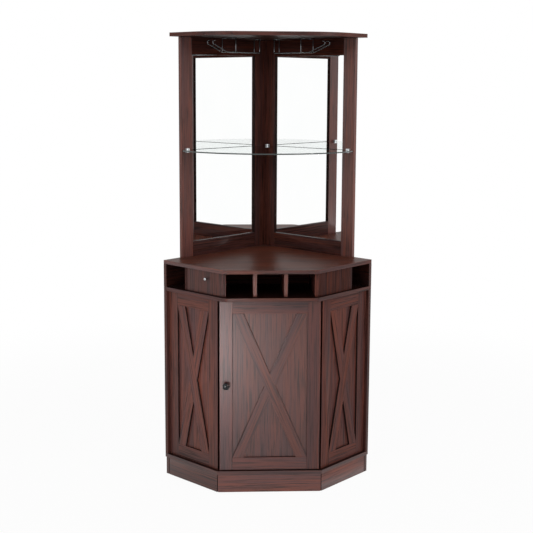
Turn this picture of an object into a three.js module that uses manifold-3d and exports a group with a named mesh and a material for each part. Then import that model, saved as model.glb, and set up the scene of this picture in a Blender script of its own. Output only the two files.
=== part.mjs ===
// A corner bar cabinet of laminated board: a five-sided base with a braced door, a row of bottle bays,
// a counter, and a mirrored hutch with a glass shelf and two stemware racks under its top.
// Millimetres, +Z up. The origin is on the floor, in the middle of the cabinet's bounding box.
// The front faces -Y. The two walls of the room meet behind the cabinet at +Y, at 45 degrees to X.
import * as THREE from "three";
import { mergeVertices } from "three/addons/utils/BufferGeometryUtils.js";
import Module from "manifold-3d";

const wasm = await Module();
wasm.setup();

// Driving dimensions of the carcass
const WALL_RUN = 596; // length against each wall, from the back corner
const SIDE_RUN = 303; // length of each slanted side, square to its wall
const FRONT_OVERHANG = 28; // how far the counter and the board under the bottles pass the front
const TOTAL_HEIGHT = 1800;
const BOARD = 15; // thickness of every structural board
const FIT = 0.3; // gap left where two boards meet

// Heights of the horizontal boards
const PLINTH_HEIGHT = 72;
const BOTTOM_TOP = PLINTH_HEIGHT + BOARD;
const MID_TOP = 789;
const MID_UNDER = MID_TOP - BOARD;
const COUNTER_TOP = 898;
const COUNTER_UNDER = COUNTER_TOP - BOARD;
const TOP_UNDER = TOTAL_HEIGHT - BOARD;

// Plinth, sides and door
const PLINTH_RECESS = 3;
const PLINTH_JOINT = 1.5; // half the width of the plinth's open joints
const SIDE_SETBACK = 14; // outer face of the slanted sides behind the edge of the boards
const PANEL = 12; // backing panels of the door and the sides
const APPLIED = 8; // thickness of the stiles, rails and braces on the panels
const STILE = 50;
const BRACE_CUT = 43; // width of a brace measured along a rail
const DOOR_HALF_WIDTH = 197;
const DOOR_SETBACK = 8; // front of the door behind the front of the carcass
const DOOR_GAP = 3; // over and under the door
const SIDE_END_X = 204.5; // where the slanted sides stop, beside the door
const POST = 20;
const POST_FROM_WALL = 245;

// Door hardware
const PIVOT_INSET = 16; // pin's axis from the door's hinge edge
const PIN_RADIUS = 3;
const PIN_CLEARANCE = 0.1;
const PIN_IN_BOARD = 10;
const PIN_IN_DOOR = 20;
const COLLAR_RADIUS = 7;
const KNOB_HEIGHT = 436;
const KNOB_FROM_EDGE = 25;
const SCREW_RADIUS = 2;
const CATCH_FROM_EDGE = 40;
const CATCH_LENGTH = 42;
const CATCH_HEIGHT = 13;
const CATCH_DEPTH = 17;
const STRIKE_THICKNESS = 1.5;

// Bottle row
const BAY_BLOCK_HALF = 187; // outside of the walls of the three front bays
const BAY_DEPTH = 280;
const END_BAY = 95; // width of the bay beside each wall
const TOWEL_KNOB_FROM_WALL = 235;
const TOWEL_KNOB_HEIGHT = 850;

// Inner shelf
const SHELF_UNDER = 425;
const SHELF_FRONT_Y = -225;

// Hutch
const HUTCH_RUN = 507; // length of each mirror frame, from the back corner
const OUTER_STILE = 60;
const INNER_STILE_END = 75;
const TOP_RAIL = 67;
const BOTTOM_RAIL = 61;
const RABBET_DEPTH = 7;
const RABBET_WIDTH = 8;
const TOP_PANEL_RUN = 554; // along each wall
const TOP_PANEL_REACH = 550; // from the back corner to its front
const TOP_PANEL_ROUND = 250; // radius of its two front shoulders
const GLASS = 5;
const GLASS_UNDER = 1331;
const GLASS_RUN = 505;
const GLASS_REACH = 560;
const GLASS_OFF_FRAME = 5;
const ARC_STEPS = 28;

// Shelf clamps
const CLAMP_WIDTH = 16;
const CLAMP_REACH = 14;
const CLAMP_NOSE = 4; // radius of its two front corners
const CLAMP_JAW = 7;
const CLAMP_LOWER_JAW = 4;
const CLAMP_BACK = 4;
const CLAMP_ALONG = 482; // place of the front clamps along the wall
const CORNER_CLAMP_ALONG = 38;

// Stemware racks: two rails of wire each, open at the front, with a lane between them for the stems
const WIRE_RADIUS = 2;
const WIRE_SIDES = 8;
const LANE_FROM_WALL = 115;
const LANE_HALF = 15; // middle of the lane to a rail
const HANGER_HALF = 38; // middle of the lane to a hanger, so that a glass's foot passes between the hangers
const RACK_DROP = 57; // rails below the top panel
const RACK_BACK = 173;
const RACK_HANGER = 337;
const RACK_LEVEL_END = 362; // where the rails start to rise, so that a glass can't slide out
const RACK_TIP = 442;
const RACK_RISE = 30;
const RACK_CURL = 12; // the curled end of each rail
const RACK_BEND = 5;
const RACK_PLATE = 2;
const RACK_PLATE_WIDTH = 14;

// Places worked out from the driving dimensions
const DIAGONAL = Math.SQRT2;
const BACK_Y = ((WALL_RUN + SIDE_RUN) / DIAGONAL + FRONT_OVERHANG) / 2;
const FRONT_Y = BACK_Y - (WALL_RUN + SIDE_RUN) / DIAGONAL;
const DOOR_FACE_Y = FRONT_Y + DOOR_SETBACK;
const DOOR_PANEL_Y = DOOR_FACE_Y + APPLIED;
const DOOR_BACK_Y = DOOR_PANEL_Y + PANEL;
const DOOR_BOTTOM = BOTTOM_TOP + DOOR_GAP;
const DOOR_TOP = MID_UNDER - DOOR_GAP;
const OPENING_BOTTOM = DOOR_BOTTOM + STILE;
const OPENING_TOP = DOOR_TOP - STILE;
const PIVOT_X = DOOR_HALF_WIDTH - PIVOT_INSET;
const PIVOT_Y = DOOR_PANEL_Y + PANEL / 2;
const KNOB_X = -DOOR_HALF_WIDTH + KNOB_FROM_EDGE;
const SIDE_FACE = WALL_RUN - SIDE_SETBACK;
const SIDE_PANEL_FACE = SIDE_FACE - APPLIED;
const SIDE_INNER = SIDE_PANEL_FACE - PANEL;
const BAY_TOP = COUNTER_UNDER - FIT;
const BAY_BOTTOM = MID_TOP + FIT;

// Materials
const material = (color, roughness, metalness) =>
  new THREE.MeshStandardMaterial({ color, roughness, metalness });
const wood = material("#4a302a", 0.45, 0);
const mirrorGlass = material("#e4e8ea", 0.03, 1);
const clearGlass = new THREE.MeshStandardMaterial({
  color: "#b9cfc8",
  roughness: 0.05,
  metalness: 0,
  transparent: true,
  opacity: 0.35,
});
const chrome = material("#d5d7d9", 0.12, 1);
const bronze = material("#2b2422", 0.4, 0.8);
const steel = material("#9a9c9e", 0.35, 1);
const plastic = material("#1d1b1a", 0.5, 0);

// Groups. In a wall group, x runs along the wall from the back corner and y runs out into the room.
const cabinet = new THREE.Group();
const mirrored = new THREE.Group();
mirrored.scale.x = -1;
cabinet.add(mirrored);
const wallGroup = (parent) => {
  const group = new THREE.Group();
  group.position.set(0, BACK_Y, 0);
  group.rotation.z = (-3 * Math.PI) / 4;
  parent.add(group);
  return group;
};
const walls = { left: wallGroup(cabinet), right: wallGroup(mirrored) };
const SIDES = ["left", "right"];

const add = (parent, name, geometry, look) => {
  const mesh = new THREE.Mesh(geometry, look);
  mesh.name = name;
  parent.add(mesh);
  return mesh;
};

// A block between two corners.
function block(x0, x1, y0, y1, z0, z1) {
  const box = new THREE.BoxGeometry(x1 - x0, y1 - y0, z1 - z0);
  return box.translate((x0 + x1) / 2, (y0 + y1) / 2, (z0 + z1) / 2);
}

// A flat outline made thick, without a bevel.
function extruded(shape, depth, curveSegments = 8) {
  return new THREE.ExtrudeGeometry(shape, { depth, bevelEnabled: false, curveSegments });
}

// A flat outline raised from z0 to z1.
function raised(outline, z0, z1) {
  const isShape = outline instanceof THREE.Shape;
  const shape = isShape ? outline : new THREE.Shape(outline.map(([x, y]) => new THREE.Vector2(x, y)));
  return extruded(shape, z1 - z0, ARC_STEPS).translate(0, 0, z0);
}

// A turned piece: pairs of radius and height, about +Z.
function turned(profile, segments = 24) {
  const outline = profile.map(([r, h]) => new THREE.Vector2(r, h));
  return new THREE.LatheGeometry(outline, segments).rotateX(Math.PI / 2);
}

// Solids for joining and cutting, and back again.
function solidOf(geometry) {
  const bare = geometry.clone();
  bare.deleteAttribute("normal");
  bare.deleteAttribute("uv");
  const merged = mergeVertices(bare, 1e-4);
  return new wasm.Manifold(
    new wasm.Mesh({
      numProp: 3,
      vertProperties: merged.getAttribute("position").array,
      triVerts: new Uint32Array(merged.index.array),
    }),
  );
}

function geometryOf(solid) {
  const mesh = solid.getMesh();
  const geometry = new THREE.BufferGeometry();
  geometry.setAttribute("position", new THREE.BufferAttribute(new Float32Array(mesh.vertProperties), 3));
  geometry.setIndex(new THREE.BufferAttribute(new Uint32Array(mesh.triVerts), 1));
  geometry.computeVertexNormals();
  return geometry;
}

const cut = (body, ...tools) =>
  geometryOf(tools.reduce((left, tool) => left.subtract(solidOf(tool)), solidOf(body)));
const join = (body, ...others) =>
  geometryOf(others.reduce((sum, other) => sum.add(solidOf(other)), solidOf(body)));

// A point of the left wall's group, along the wall and out from it, in the cabinet's own X and Y.
const fromLeftWall = (along, out) => [-(along - out) / DIAGONAL, BACK_Y - (along + out) / DIAGONAL];

// The left half of an outline, closed by its mirror image. Points run from the back to the front.
const bothSides = (half) => [...half, ...half.filter(([x]) => x < 0).reverse().map(([x, y]) => [-x, y])];

// The carcass's five-sided plan.
const carcassPlan = bothSides([[0, BACK_Y], fromLeftWall(WALL_RUN, 0), fromLeftWall(WALL_RUN, SIDE_RUN)]);

// The plan of the boards that pass the front, with a narrow cut across each front corner.
const CORNER_CUT = 11;
const overhangCorner = SIDE_RUN + FRONT_OVERHANG * DIAGONAL;
const [cornerX, overhangY] = fromLeftWall(WALL_RUN, overhangCorner);
const overhangPlan = bothSides([
  [0, BACK_Y],
  fromLeftWall(WALL_RUN, 0),
  fromLeftWall(WALL_RUN, overhangCorner - CORNER_CUT),
  [cornerX + CORNER_CUT, overhangY],
]);

// The hole for a pivot pin, at the door's axis.
const PIVOT_BORE = PIN_RADIUS + PIN_CLEARANCE;
const pivotHole = (z0, z1) =>
  turned([[0, z0], [PIVOT_BORE, z0], [PIVOT_BORE, z1], [0, z1]]).translate(PIVOT_X, PIVOT_Y, 0);

// Base: plinth ring
function plinth() {
  const outer = WALL_RUN - PLINTH_RECESS;
  const inner = outer - BOARD;
  const back = PLINTH_RECESS;
  const top = PLINTH_HEIGHT - FIT;
  // Where a line at a distance along the wall meets a line that far behind the front.
  const cornerAt = (along, behind) => WALL_RUN + SIDE_RUN - behind * DIAGONAL - along;
  for (const side of SIDES) {
    const start = side === "left" ? back : back + BOARD + FIT;
    add(walls[side], `plinth_wall_${side}`, block(start, outer, back, back + BOARD, 0, top), wood);
    const from = back + BOARD + 2 * PLINTH_JOINT;
    const outline = [
      [outer, from],
      [outer, cornerAt(outer, back) - PLINTH_JOINT],
      [inner, cornerAt(inner, back + BOARD) - PLINTH_JOINT],
      [inner, from],
    ];
    add(walls[side], `plinth_side_${side}`, raised(outline, 0, top), wood);
  }
  const [outerX, outerY] = fromLeftWall(outer, cornerAt(outer, back));
  const [innerX, innerY] = fromLeftWall(inner, cornerAt(inner, back + BOARD));
  const outline = bothSides([[innerX + PLINTH_JOINT, innerY], [outerX + PLINTH_JOINT, outerY]]);
  add(cabinet, "plinth_front", raised(outline, 0, top), wood);
}

// Base: boards, wall panels and posts
function carcass() {
  const bottom = raised(carcassPlan, PLINTH_HEIGHT, BOTTOM_TOP);
  add(cabinet, "bottom_board", cut(bottom, pivotHole(BOTTOM_TOP - PIN_IN_BOARD - FIT, BOTTOM_TOP + 1)), wood);
  const mid = raised(overhangPlan, MID_UNDER, MID_TOP);
  add(cabinet, "mid_board", cut(mid, pivotHole(MID_UNDER - 1, MID_UNDER + PIN_IN_BOARD + FIT)), wood);
  add(cabinet, "counter_top", raised(overhangPlan, COUNTER_UNDER, COUNTER_TOP), wood);
  for (const side of SIDES) {
    // The left panels run to the back corner and the right ones meet them.
    const start = side === "left" ? 0 : BOARD + FIT;
    const lower = block(start, WALL_RUN, 0, BOARD, BOTTOM_TOP + FIT, MID_UNDER - FIT);
    add(walls[side], `lower_wall_panel_${side}`, lower, wood);
    const upper = block(start, WALL_RUN, 0, BOARD, BAY_BOTTOM, BAY_TOP);
    add(walls[side], `upper_wall_panel_${side}`, upper, wood);
    const postBack = SIDE_INNER - FIT - POST;
    const postOut = POST_FROM_WALL + POST;
    const post = block(postBack, postBack + POST, POST_FROM_WALL, postOut, BOTTOM_TOP + FIT, MID_UNDER - FIT);
    add(walls[side], `front_post_${side}`, post, wood);
  }
  const shelfAlong = SIDE_INNER - 2 * FIT - POST;
  const shelfCorner = BOARD + FIT;
  const frontOut = (BACK_Y - SHELF_FRONT_Y) * DIAGONAL - shelfAlong;
  const shelfPlan = bothSides([
    [0, fromLeftWall(shelfCorner, shelfCorner)[1]],
    fromLeftWall(shelfAlong, shelfCorner),
    fromLeftWall(shelfAlong, frontOut),
  ]);
  add(cabinet, "inner_shelf", raised(shelfPlan, SHELF_UNDER, SHELF_UNDER + BOARD), wood);
}

// An X of two crossed battens that fills an opening, its lower edges running into the corners.
function crossOutline(width, height) {
  const slope = height / (width - BRACE_CUT);
  const notch = (width / 2 - BRACE_CUT) * slope;
  return new THREE.Shape(
    [
      [0, 0],
      [BRACE_CUT, 0],
      [width / 2, notch],
      [width - BRACE_CUT, 0],
      [width, 0],
      [(width + BRACE_CUT) / 2, height / 2],
      [width, height],
      [width - BRACE_CUT, height],
      [width / 2, height - notch],
      [BRACE_CUT, height],
      [0, height],
      [(width - BRACE_CUT) / 2, height / 2],
    ].map(([x, y]) => new THREE.Vector2(x, y)),
  );
}

// An applied brace: the X drawn in x and z, its front at y = 0 and its back at y = thickness.
function crossBrace(width, height, thickness) {
  const flat = extruded(crossOutline(width, height), thickness);
  return flat.rotateX(Math.PI / 2).translate(0, thickness, 0);
}

// Slanted sides: backing panel, applied frame and applied brace
function slantedSides() {
  const low = BOTTOM_TOP + FIT;
  const high = MID_UNDER - FIT;
  const from = BOARD + FIT;
  const endAt = (along) => along - SIDE_END_X * DIAGONAL; // distance out from the wall, beside the door
  const frontOpening = endAt(SIDE_FACE) - STILE;
  const wallOpening = from + STILE;
  // A sheet between two distances along the wall.
  const sheetOf = (inner, outer) =>
    raised([[inner, from], [outer, from], [outer, endAt(outer)], [inner, endAt(inner)]], low, high);
  for (const side of SIDES) {
    add(walls[side], `side_panel_${side}`, sheetOf(SIDE_INNER, SIDE_PANEL_FACE), wood);
    const back = SIDE_PANEL_FACE + FIT;
    const sheet = sheetOf(back, SIDE_FACE);
    const opening = block(back - 1, SIDE_FACE + 1, wallOpening, frontOpening, OPENING_BOTTOM, OPENING_TOP);
    add(walls[side], `side_frame_${side}`, cut(sheet, opening), wood);
    const braceHeight = OPENING_TOP - OPENING_BOTTOM - 2 * FIT;
    const brace = crossBrace(frontOpening - wallOpening - 2 * FIT, braceHeight, APPLIED - FIT);
    brace.rotateZ(Math.PI / 2).translate(SIDE_FACE, wallOpening + FIT, OPENING_BOTTOM + FIT);
    add(walls[side], `side_brace_${side}`, brace, wood);
  }
}

// Door: backing panel, stiles, rails and brace, with the holes for its pins and its knob's screw
function door() {
  const half = DOOR_HALF_WIDTH;
  const inner = half - STILE;
  const back = DOOR_PANEL_Y - FIT;
  const screwHole = turned([[0, -1], [SCREW_RADIUS + FIT, -1], [SCREW_RADIUS + FIT, 40], [0, 40]], 16)
    .rotateX(Math.PI / 2)
    .translate(KNOB_X, DOOR_BACK_Y, KNOB_HEIGHT);
  const panel = block(-half, half, DOOR_PANEL_Y, DOOR_BACK_Y, DOOR_BOTTOM, DOOR_TOP);
  const lowerHole = pivotHole(DOOR_BOTTOM - 1, DOOR_BOTTOM + PIN_IN_DOOR + FIT);
  const upperHole = pivotHole(DOOR_TOP - PIN_IN_DOOR - FIT, DOOR_TOP + 1);
  add(cabinet, "door_panel", cut(panel, lowerHole, upperHole, screwHole), wood);
  const leftStile = block(-half, -inner, DOOR_FACE_Y, back, DOOR_BOTTOM, DOOR_TOP);
  add(cabinet, "door_stile_left", cut(leftStile, screwHole), wood);
  add(cabinet, "door_stile_right", block(inner, half, DOOR_FACE_Y, back, DOOR_BOTTOM, DOOR_TOP), wood);
  const railEnd = inner - FIT;
  const rail = (z0, z1) => block(-railEnd, railEnd, DOOR_FACE_Y, back, z0, z1);
  add(cabinet, "door_rail_top", rail(OPENING_TOP, DOOR_TOP), wood);
  add(cabinet, "door_rail_bottom", rail(DOOR_BOTTOM, OPENING_BOTTOM), wood);
  const brace = crossBrace(2 * railEnd, OPENING_TOP - OPENING_BOTTOM - 2 * FIT, APPLIED - FIT);
  add(cabinet, "door_brace", brace.translate(-railEnd, DOOR_FACE_Y, OPENING_BOTTOM + FIT), wood);
}

// Door hardware: pivot pins, knob and its screw, magnetic catch and strike plate
function doorHardware() {
  const chamfer = 0.6;
  const pin = (z0, z1, collar) => [
    [0, z0],
    [PIN_RADIUS - chamfer, z0],
    [PIN_RADIUS, z0 + chamfer],
    ...collar,
    [PIN_RADIUS, z1 - chamfer],
    [PIN_RADIUS - chamfer, z1],
    [0, z1],
  ];
  const collarLow = BOTTOM_TOP + FIT;
  const collarHigh = DOOR_BOTTOM - FIT;
  const collar = [
    [PIN_RADIUS, collarLow],
    [COLLAR_RADIUS, collarLow],
    [COLLAR_RADIUS, collarHigh],
    [PIN_RADIUS, collarHigh],
  ];
  const lowerProfile = pin(BOTTOM_TOP - PIN_IN_BOARD, DOOR_BOTTOM + PIN_IN_DOOR, collar);
  const lower = add(cabinet, "pivot_pin_lower", turned(lowerProfile), steel);
  lower.position.set(PIVOT_X, PIVOT_Y, 0);
  const upperProfile = pin(DOOR_TOP - PIN_IN_DOOR, MID_UNDER + PIN_IN_BOARD, []);
  const upper = add(cabinet, "pivot_pin_upper", turned(upperProfile), steel);
  upper.position.set(PIVOT_X, PIVOT_Y, 0);

  // Radius and distance out from the door, with a blind bore for the screw.
  const bore = SCREW_RADIUS + FIT;
  const knobProfile = [
    [bore, 0],
    [9, 0],
    [9.4, 1],
    [8.6, 2.2],
    [6.5, 3.8],
    [5.5, 7.2],
    [5.9, 10.2],
    [8.7, 12.7],
    [12, 14.9],
    [13.8, 18],
    [14, 20.6],
    [12.8, 23.8],
    [9.8, 26.3],
    [5.5, 27.9],
    [0, 28.4],
    [0, 12],
    [bore, 12],
    [bore, 0],
  ];
  const knob = add(cabinet, "door_knob", turned(knobProfile, 28).rotateX(Math.PI / 2), bronze);
  knob.position.set(KNOB_X, DOOR_FACE_Y - FIT, KNOB_HEIGHT);
  const shank = DOOR_BACK_Y - DOOR_FACE_Y + 11;
  const screwHead = [[0, -2.6], [2.6, -2.4], [4.2, -1.4], [4.6, -FIT]];
  const screwProfile = [...screwHead, [SCREW_RADIUS, -FIT], [SCREW_RADIUS, shank], [0, shank]];
  const screw = add(cabinet, "knob_screw", turned(screwProfile, 16).rotateX(Math.PI / 2), steel);
  screw.position.set(KNOB_X, DOOR_BACK_Y, KNOB_HEIGHT);

  const x0 = -DOOR_HALF_WIDTH + CATCH_FROM_EDGE;
  const x1 = x0 + CATCH_LENGTH;
  const top = MID_UNDER - FIT;
  const strikeY = DOOR_BACK_Y + FIT;
  const plateEdge = 4;
  const strikeBack = strikeY + STRIKE_THICKNESS;
  const plate = block(x0 + plateEdge, x1 - plateEdge, strikeY, strikeBack, top - CATCH_HEIGHT, DOOR_TOP - 1);
  add(cabinet, "strike_plate", plate, steel);
  const catchY = strikeY + STRIKE_THICKNESS + FIT;
  // The catch's housing: a block with a rounded ear at each end.
  const earY = catchY + CATCH_DEPTH * 0.75;
  const housing = new THREE.Shape();
  housing.moveTo(x0 + plateEdge, catchY);
  housing.lineTo(x1 - plateEdge, catchY);
  housing.lineTo(x1 - plateEdge, catchY + CATCH_DEPTH / 2);
  housing.absarc(x1 - plateEdge, earY, CATCH_DEPTH / 4, -Math.PI / 2, Math.PI / 2, false);
  housing.lineTo(x0 + plateEdge, catchY + CATCH_DEPTH);
  housing.absarc(x0 + plateEdge, earY, CATCH_DEPTH / 4, Math.PI / 2, (3 * Math.PI) / 2, false);
  housing.closePath();
  const catchBody = extruded(housing, CATCH_HEIGHT).translate(0, 0, top - CATCH_HEIGHT);
  add(cabinet, "magnetic_catch", catchBody, plastic);
}

// Bottle row: three front bays, an end bay at each wall, and the slanted panels between them
function bottleRow() {
  const outer = BAY_BLOCK_HALF;
  const inner = outer - BOARD;
  const rear = FRONT_Y + BAY_DEPTH;
  const bay = (2 * inner - 2 * BOARD) / 3;
  const dividerX = bay / 2;
  const dividerEnd = rear - BOARD - FIT;
  for (const side of SIDES) {
    const parent = side === "left" ? cabinet : mirrored;
    add(parent, `bottle_wall_${side}`, block(-outer, -inner, FRONT_Y, rear, BAY_BOTTOM, BAY_TOP), wood);
    const divider = block(-dividerX - BOARD, -dividerX, FRONT_Y, dividerEnd, BAY_BOTTOM, BAY_TOP);
    add(parent, `bottle_divider_${side}`, divider, wood);
    const endBayOut = BOARD + END_BAY;
    const blockSide = (outer + 2 * FIT) * DIAGONAL; // the bay walls' outside, as along less out
    const start = endBayOut + BOARD + blockSide;
    const endDivider = block(start, SIDE_FACE, endBayOut, endBayOut + BOARD, BAY_BOTTOM, BAY_TOP);
    add(walls[side], `end_divider_${side}`, endDivider, wood);
    const panelBack = SIDE_FACE - BOARD;
    const from = endBayOut + BOARD + FIT;
    const meets = (along) => along - (outer + FIT) * DIAGONAL;
    const outline = [
      [panelBack, from],
      [SIDE_FACE, from],
      [SIDE_FACE, meets(SIDE_FACE)],
      [panelBack, meets(panelBack)],
    ];
    add(walls[side], `upper_side_panel_${side}`, raised(outline, BAY_BOTTOM, BAY_TOP), wood);
  }
  const bayBack = block(-inner + FIT, inner - FIT, rear - BOARD, rear, BAY_BOTTOM, BAY_TOP);
  add(cabinet, "bottle_back", bayBack, wood);

  // A small domed knob on the left slanted panel.
  const dome = [[5.4, 7.2], [6.4, 9.2], [6.2, 11.4], [4.6, 13.4], [2.4, 14.3], [0, 14.6]];
  const profile = [[0, 0], [3.2, 0], [3.2, 6], ...dome];
  const knob = add(walls.left, "towel_knob", turned(profile, 20).rotateY(Math.PI / 2), chrome);
  knob.position.set(SIDE_FACE + FIT, TOWEL_KNOB_FROM_WALL, TOWEL_KNOB_HEIGHT);
}

// The top panel's plan: square to each wall at its ends, with a straight front and round shoulders.
function topPlan() {
  const [tipX, tipY] = fromLeftWall(TOP_PANEL_RUN, 0);
  const frontY = BACK_Y - TOP_PANEL_REACH;
  const centreX = tipX + tipY - frontY + TOP_PANEL_ROUND * Math.tan(Math.PI / 8);
  const centreY = frontY + TOP_PANEL_ROUND;
  const shape = new THREE.Shape();
  shape.moveTo(0, BACK_Y);
  shape.lineTo(tipX, tipY);
  shape.absarc(centreX, centreY, TOP_PANEL_ROUND, (-3 * Math.PI) / 4, -Math.PI / 2, false);
  shape.absarc(-centreX, centreY, TOP_PANEL_ROUND, -Math.PI / 2, -Math.PI / 4, false);
  shape.lineTo(-tipX, tipY);
  shape.closePath();
  return shape;
}

// The glass shelf's plan: it keeps off both frames and has a bowed front.
function glassPlan() {
  const margin = BOARD + GLASS_OFF_FRAME;
  const [tipX, tipY] = fromLeftWall(GLASS_RUN, margin);
  const frontY = BACK_Y - GLASS_REACH;
  const bow = tipY - frontY;
  const radius = (tipX * tipX + bow * bow) / (2 * bow);
  const half = Math.asin(-tipX / radius);
  const shape = new THREE.Shape();
  shape.moveTo(0, fromLeftWall(margin, margin)[1]);
  shape.lineTo(tipX, tipY);
  shape.absarc(0, frontY + radius, radius, -Math.PI / 2 - half, -Math.PI / 2 + half, false);
  shape.closePath();
  return shape;
}

// Hutch: two mirror frames with rabbets behind, the top panel and the glass shelf
function hutch() {
  const low = COUNTER_TOP + FIT;
  const high = TOP_UNDER - FIT;
  const openBottom = COUNTER_TOP + BOTTOM_RAIL;
  const openTop = TOP_UNDER - TOP_RAIL;
  const stileInner = HUTCH_RUN - OUTER_STILE;
  const rabbetEnd = RABBET_DEPTH;
  for (const side of SIDES) {
    const wall = walls[side];
    const start = side === "left" ? 0 : BOARD + FIT;
    const outerStile = [
      [stileInner, BOARD],
      [stileInner, rabbetEnd],
      [stileInner + RABBET_WIDTH, rabbetEnd],
      [stileInner + RABBET_WIDTH, 0],
      [HUTCH_RUN, 0],
      [HUTCH_RUN, BOARD],
    ];
    add(wall, `hutch_outer_stile_${side}`, raised(outerStile, low, high), wood);
    const innerStile = [
      [start, 0],
      [INNER_STILE_END - RABBET_WIDTH, 0],
      [INNER_STILE_END - RABBET_WIDTH, rabbetEnd],
      [INNER_STILE_END, rabbetEnd],
      [INNER_STILE_END, BOARD],
      [start, BOARD],
    ];
    add(wall, `hutch_inner_stile_${side}`, raised(innerStile, low, high), wood);
    // A rail's section is drawn in its own out and up, then run along the wall between the stiles.
    const rail = (name, z0, z1, rabbet0, rabbet1) => {
      const bar = block(INNER_STILE_END + FIT, stileInner - FIT, 0, BOARD, z0, z1);
      const groove = block(INNER_STILE_END - 1, stileInner + 1, -1, rabbetEnd, rabbet0, rabbet1);
      add(wall, `hutch_${name}_${side}`, cut(bar, groove), wood);
    };
    rail("top_rail", openTop, high, openTop - 1, openTop + RABBET_WIDTH);
    rail("bottom_rail", low, openBottom, openBottom - RABBET_WIDTH, openBottom + 1);
    const mirror = block(
      INNER_STILE_END - RABBET_WIDTH + FIT,
      stileInner + RABBET_WIDTH - FIT,
      1,
      rabbetEnd - FIT,
      openBottom - RABBET_WIDTH + FIT,
      openTop + RABBET_WIDTH - FIT,
    );
    add(wall, `mirror_${side}`, mirror, mirrorGlass);
  }
  add(cabinet, "top_panel", raised(topPlan(), TOP_UNDER, TOTAL_HEIGHT), wood);
  add(cabinet, "glass_shelf", raised(glassPlan(), GLASS_UNDER, GLASS_UNDER + GLASS), clearGlass);
}

// Shelf clamps: a chrome block with round front corners, slotted for the edge of the glass
function shelfClamps() {
  const low = GLASS_UNDER - FIT - CLAMP_LOWER_JAW;
  const high = GLASS_UNDER + GLASS + FIT + CLAMP_JAW;
  const half = CLAMP_WIDTH / 2;
  const clamp = () => {
    const plan = new THREE.Shape();
    plan.moveTo(-half, 0);
    plan.lineTo(half, 0);
    plan.lineTo(half, CLAMP_REACH - CLAMP_NOSE);
    plan.absarc(half - CLAMP_NOSE, CLAMP_REACH - CLAMP_NOSE, CLAMP_NOSE, 0, Math.PI / 2, false);
    plan.absarc(CLAMP_NOSE - half, CLAMP_REACH - CLAMP_NOSE, CLAMP_NOSE, Math.PI / 2, Math.PI, false);
    plan.closePath();
    const body = extruded(plan, high - low, 10).translate(0, 0, low);
    const mouth = CLAMP_REACH + 1;
    const slot = block(-half - 1, half + 1, CLAMP_BACK, mouth, GLASS_UNDER - FIT, GLASS_UNDER + GLASS + FIT);
    return cut(body, slot);
  };
  const place = (wall, name, along) => {
    const mesh = add(wall, name, clamp(), chrome);
    mesh.position.set(along, BOARD + FIT, 0);
  };
  place(walls.left, "shelf_clamp_left", CLAMP_ALONG);
  place(walls.right, "shelf_clamp_right", CLAMP_ALONG);
  place(walls.right, "shelf_clamp_corner", CORNER_CLAMP_ALONG);
}

// A bent wire: straight runs with a rounded corner at each inner point. Its parameter gives one step to a run
// and BEND_STEPS to a corner, so that the facets go where the wire turns.
const BEND_STEPS = 4;
class BentWire extends THREE.Curve {
  constructor(corners, radius) {
    super();
    const points = corners.map((p) => new THREE.Vector3(...p));
    this.stations = [points[0]];
    for (let i = 1; i < points.length - 1; i++) {
      const before = points[i - 1].clone().sub(points[i]);
      const after = points[i + 1].clone().sub(points[i]);
      const halfTurn = (Math.PI - before.angleTo(after)) / 2;
      const setback = Math.min(radius * Math.tan(halfTurn), before.length() / 2, after.length() / 2);
      const start = points[i].clone().addScaledVector(before.normalize(), setback);
      const end = points[i].clone().addScaledVector(after.normalize(), setback);
      this.stations.push(...new THREE.QuadraticBezierCurve3(start, points[i], end).getPoints(BEND_STEPS));
    }
    this.stations.push(points.at(-1));
    this.steps = this.stations.length - 1;
  }

  getPoint(t, target = new THREE.Vector3()) {
    const place = Math.min(Math.max(t, 0), 1) * this.steps;
    const i = Math.min(Math.floor(place), this.steps - 1);
    return target.lerpVectors(this.stations[i], this.stations[i + 1], place - i);
  }

  getUtoTmapping(u) {
    return u;
  }
}

function wire(corners, radius) {
  const path = new BentWire(corners, radius);
  const section = new THREE.Shape().absarc(0, 0, WIRE_RADIUS, 0, 2 * Math.PI, false);
  const options = { steps: path.steps, extrudePath: path, curveSegments: WIRE_SIDES };
  return new THREE.ExtrudeGeometry(section, options);
}

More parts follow.
